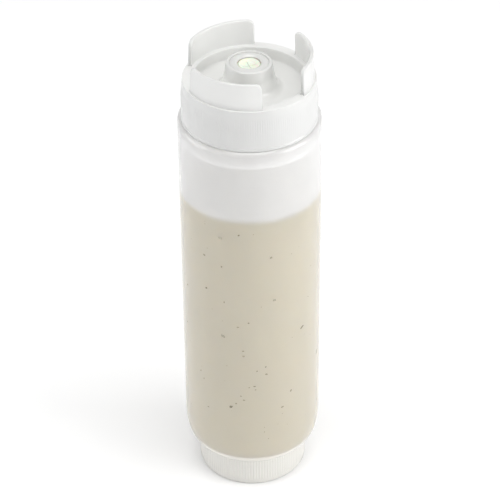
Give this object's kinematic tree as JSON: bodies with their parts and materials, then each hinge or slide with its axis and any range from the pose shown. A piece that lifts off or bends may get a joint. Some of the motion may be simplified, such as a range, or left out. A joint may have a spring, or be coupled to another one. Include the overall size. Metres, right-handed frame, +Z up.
{
  "type": "squeeze bottle",
  "caption": "Two-ended squeeze bottle for sauces: a soft cylinder on a threaded refill cap, with a threaded valve cap on top that has curved standing tabs.",
  "frame": {"origin": "centre of the refill cap's underside, the face that the bottle stands on", "axes": "+Z up along the bottle's axis to the tabs, -Y the front in the picture, +X to its right"},
  "size_m": [0.07, 0.07, 0.2484],
  "materials": {
    "bottle": "natural translucent low-density polyethylene, soft satin",
    "sauce": null,
    "dispensing_cap": "natural translucent polypropylene, satin",
    "valve": "translucent silicone",
    "retaining_ring": "natural translucent polypropylene",
    "cap_gasket": "white silicone",
    "refill_cap": "natural translucent polypropylene with fine grip ribs",
    "refill_cap_gasket": "white silicone"
  },
  "bodies": {
    "bottle": {"bottle": "bottle", "sauce_fill": "sauce"},
    "dispensing_cap_seal": {"cap_gasket": "cap_gasket"},
    "dispensing_cap": {"dispensing_cap": "dispensing_cap", "silicone_valve": "valve", "valve_retaining_ring": "retaining_ring"},
    "refill_cap_seal": {"refill_cap_gasket": "refill_cap_gasket"},
    "refill_cap": {"refill_cap": "refill_cap"}
  },
  "joints": [
    {"name": "dispensing_cap_travel", "type": "slide", "parent": "bottle", "child": "dispensing_cap_seal", "axis": [0, 0, 1], "range_m": [0, 0.02]},
    {"name": "dispensing_cap_screw", "type": "hinge", "parent": "dispensing_cap_seal", "child": "dispensing_cap", "pos_m": [0, 0, 0.2315], "axis": [0, 0, 1], "range_deg": [0, 1441]},
    {"name": "refill_cap_travel", "type": "slide", "parent": "bottle", "child": "refill_cap_seal", "axis": [0, 0, -1], "range_m": [0, 0.015]},
    {"name": "refill_cap_screw", "type": "hinge", "parent": "refill_cap_seal", "child": "refill_cap", "pos_m": [0, 0, 0.0037], "axis": [0, 0, -1], "range_deg": [0, 1081]}
  ],
  "couplings": [
    {"joint": "dispensing_cap_screw", "follows": "dispensing_cap_travel", "rad_per_m": 1256.6},
    {"joint": "refill_cap_screw", "follows": "refill_cap_travel", "rad_per_m": 1256.6}
  ]
}
